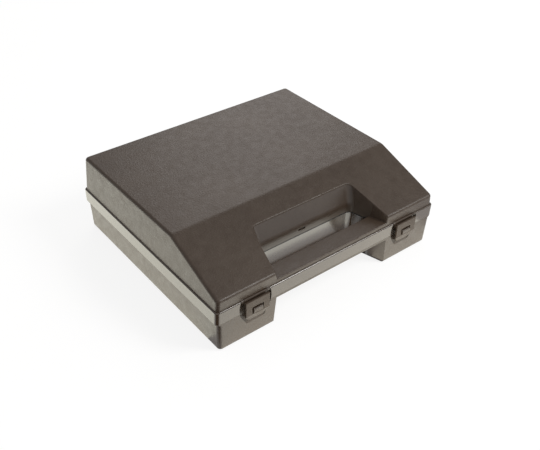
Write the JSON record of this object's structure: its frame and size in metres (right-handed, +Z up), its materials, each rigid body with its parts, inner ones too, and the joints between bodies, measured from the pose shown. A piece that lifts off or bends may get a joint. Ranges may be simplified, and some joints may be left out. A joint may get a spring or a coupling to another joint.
{
  "type": "plastic transit case",
  "caption": "Moulded carrying case with a sloping front, a built-in grip, a rear-hinged lid and swing-out front latches, lined with foam.",
  "frame": {"origin": "on the flat underside, below the centre of the rim's plan", "axes": "+X to the right seen from the latches, +Y from the latches to the hinges, +Z up"},
  "size_m": [0.27, 0.2511, 0.085],
  "materials": {
    "case_plastic": "satin, leathery mould grain, smooth collar band",
    "pin_steel": "drawn wire",
    "foam": "open-cell foam"
  },
  "bodies": {
    "base": {"base_shell": "case_plastic", "base_foam": "foam", "left_hinge_pin": "pin_steel", "right_hinge_pin": "pin_steel"},
    "lid": {"lid_shell": "case_plastic", "lid_foam": "foam", "left_latch_pin": "pin_steel", "right_latch_pin": "pin_steel"},
    "left_latch": {"left_latch": "case_plastic"},
    "right_latch": {"right_latch": "case_plastic"}
  },
  "joints": [
    {"name": "lid_hinge", "type": "hinge", "parent": "base", "child": "lid", "pos_m": [0, 0.12395, 0.047], "axis": [-1, 0, 0], "range_deg": [0, 180]},
    {"name": "left_latch_hinge", "type": "hinge", "parent": "lid", "child": "left_latch", "pos_m": [-0.0931, -0.11845, 0.046], "axis": [-1, 0, 0], "range_deg": [0, 95]},
    {"name": "right_latch_hinge", "type": "hinge", "parent": "lid", "child": "right_latch", "pos_m": [0.0931, -0.11845, 0.046], "axis": [-1, 0, 0], "range_deg": [0, 95]}
  ]
}
